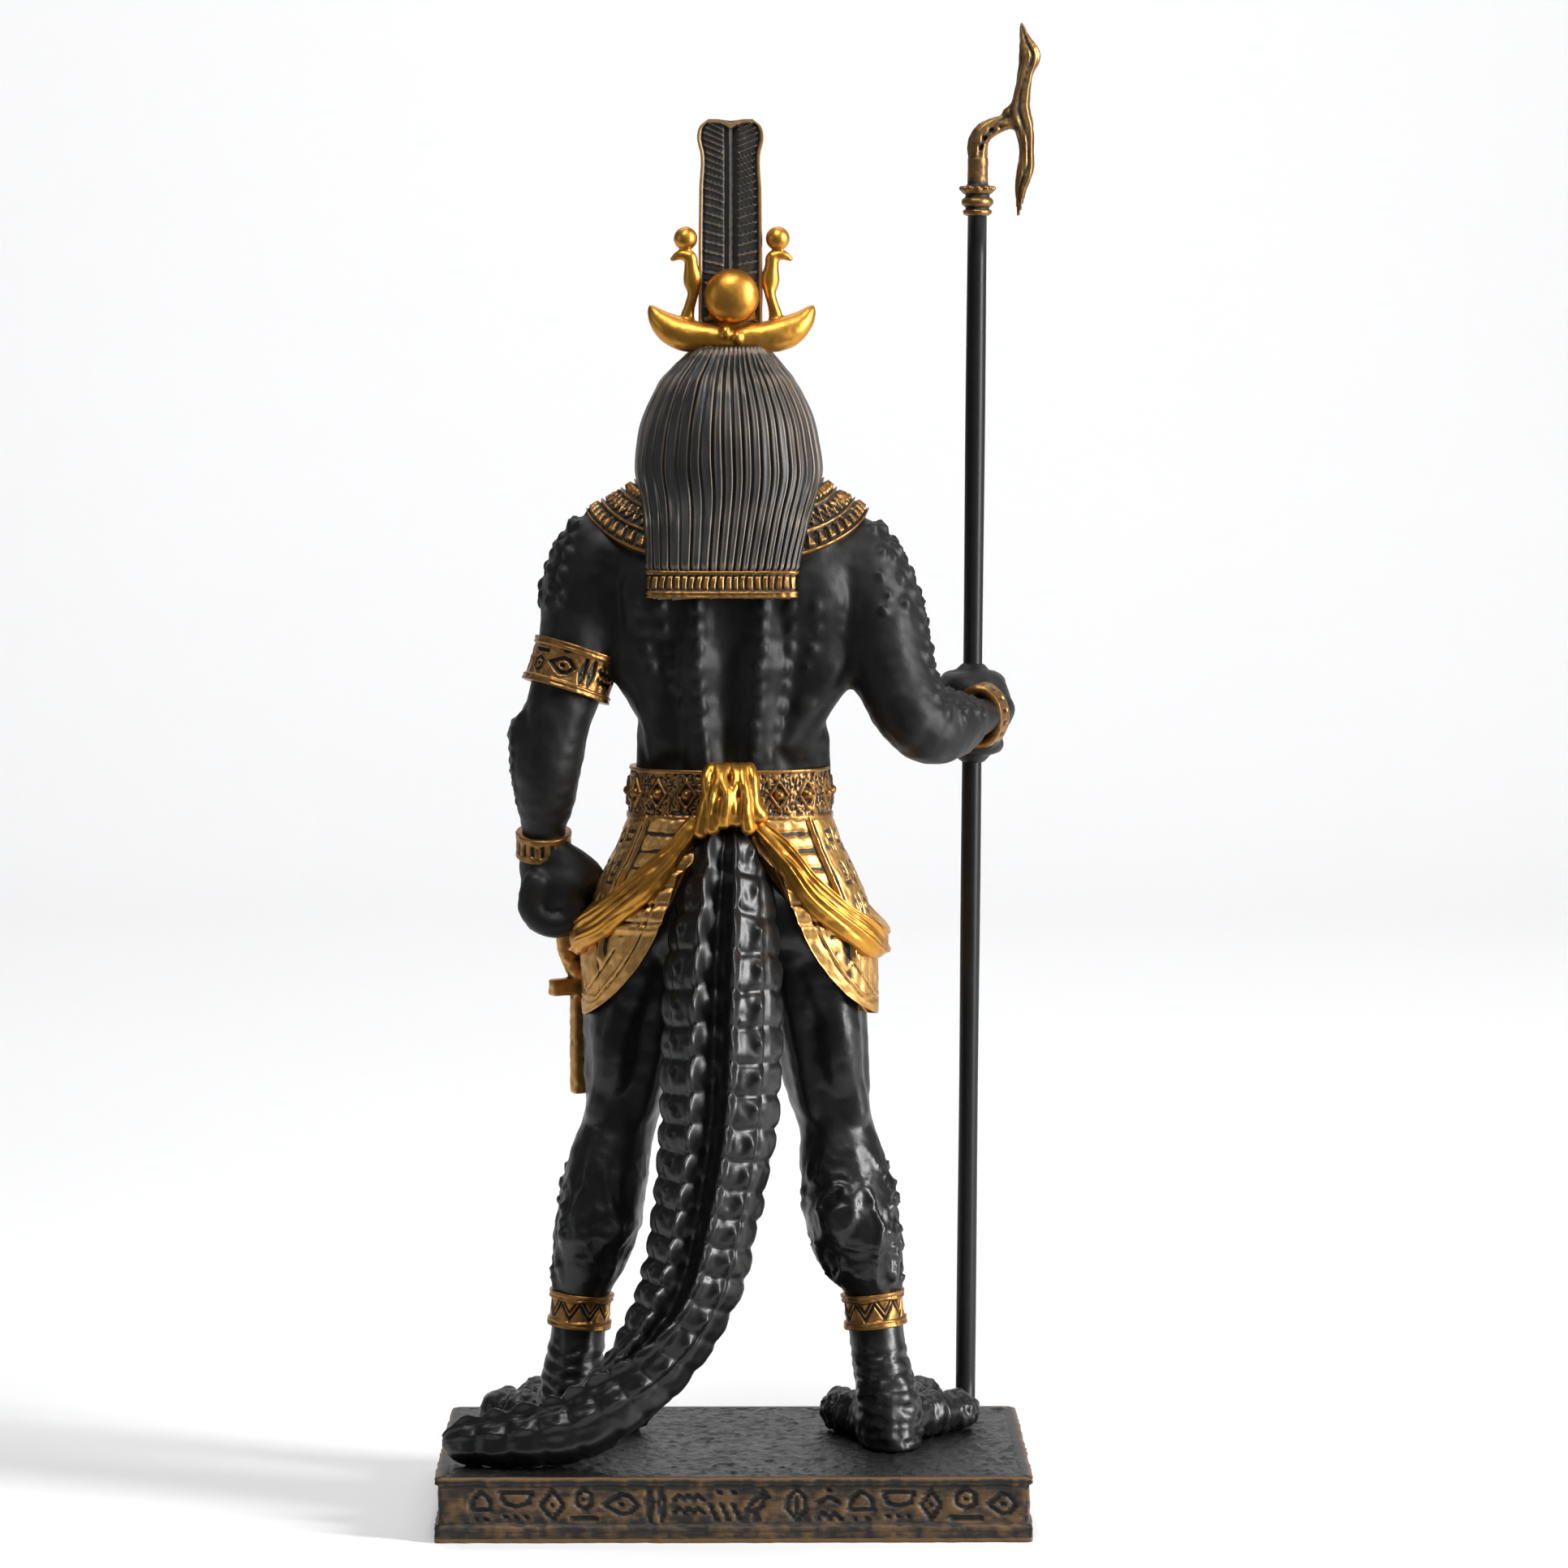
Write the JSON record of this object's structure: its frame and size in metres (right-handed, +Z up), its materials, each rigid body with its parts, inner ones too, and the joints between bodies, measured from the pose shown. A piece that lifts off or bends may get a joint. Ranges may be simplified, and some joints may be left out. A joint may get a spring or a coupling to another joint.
{
  "type": "crocodile-headed deity statuette",
  "caption": "Standing crocodile-headed figure with a plumed crown, pleated kilt, long plated tail and tall sceptre, on a flat inscribed plinth.",
  "frame": {"origin": "middle of the plinth's underside", "axes": "+Z up; the figure faces -Y; its left hand, with the looped cross, is on the +X side"},
  "size_m": [0.1214, 0.088, 0.2996],
  "materials": {
    "black_resin": "satin black cast resin, with gold and old-gold paint on its dress",
    "gold_paint": "bright gold metallic paint",
    "bronzed_resin": "black resin rubbed with bronze on its sides",
    "shaft_lacquer": "satin black lacquer",
    "old_gold_paint": "antique gold paint, dark in its hollows"
  },
  "bodies": {
    "root": {"figure": "black_resin", "crown": "gold_paint", "plinth": "bronzed_resin", "staff_shaft": "shaft_lacquer", "staff_head": "old_gold_paint"}
  },
  "joints": []
}
